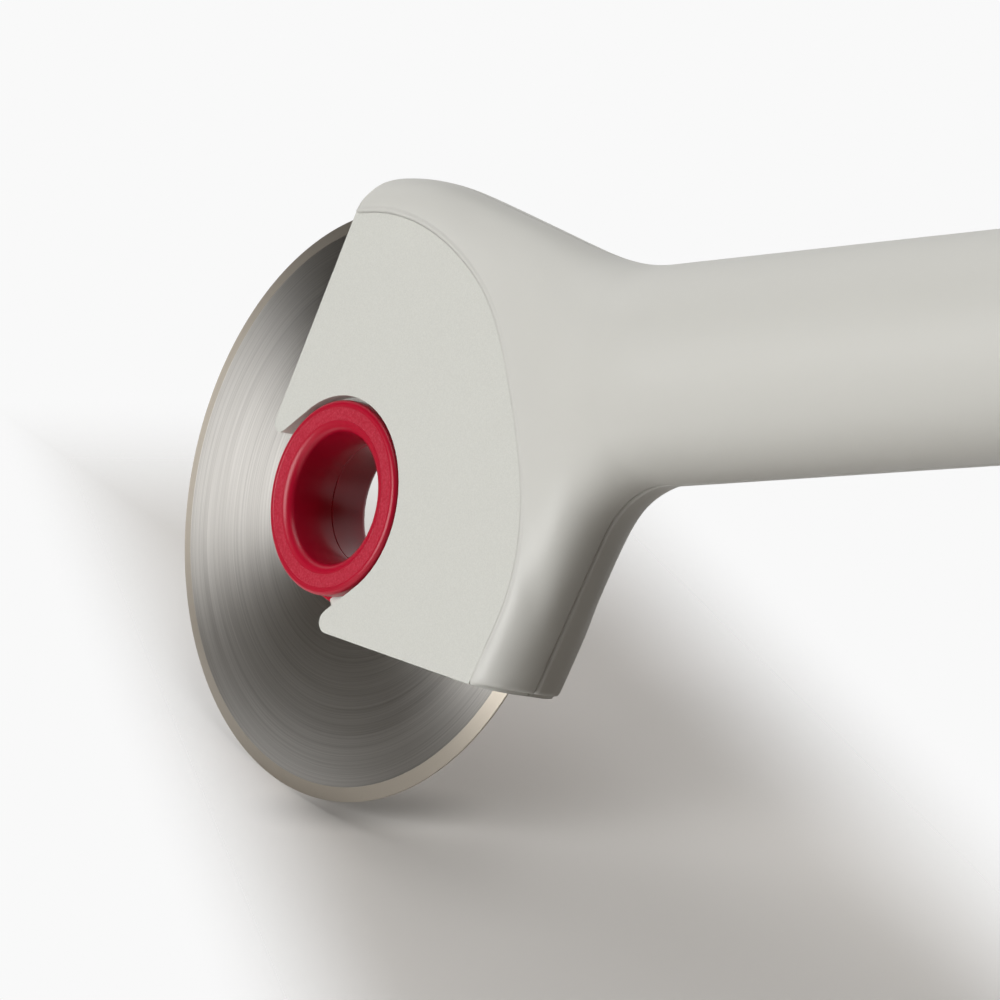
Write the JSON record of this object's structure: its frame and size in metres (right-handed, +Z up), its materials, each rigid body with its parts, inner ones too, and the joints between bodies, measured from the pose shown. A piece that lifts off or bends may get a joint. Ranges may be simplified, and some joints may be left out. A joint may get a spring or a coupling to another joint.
{
  "type": "pizza cutter",
  "caption": "Hand pizza cutter with a round steel blade on a wide open hub, which clips into a notch in the head of a thick straight handle.",
  "frame": {"origin": "the centre of the wheel, on the hub's axis in the middle plane of the blade", "axes": "+X along the handle, from the wheel to the handle's end; +Y along the hub's axis, away from the front cheek; +Z up, towards the crown of the head"},
  "size_m": [0.1993, 0.026, 0.0784],
  "materials": {
    "blade_steel": "stainless steel brushed in circles",
    "hub_plastic": "red moulded plastic, glossy, with a finely grained rim",
    "core_plastic": "warm grey moulded plastic with a fine even grain",
    "grip_plastic": "warm grey moulded skin, smooth and satin"
  },
  "bodies": {
    "handle": {"core_front": "core_plastic", "core_back": "core_plastic", "grip_front": "grip_plastic", "grip_back": "grip_plastic"},
    "hub": {"hub_front": "hub_plastic", "hub_back": "hub_plastic"},
    "blade": {"blade": "blade_steel"}
  },
  "joints": [
    {"name": "wheel_release", "type": "slide", "parent": "handle", "child": "hub", "axis": [-0.891, 0, -0.454], "range_m": [0, 0.05]},
    {"name": "blade_spin", "type": "hinge", "parent": "hub", "child": "blade", "pos_m": [0, 0, 0], "axis": [0, 1, 0], "continuous": true}
  ]
}
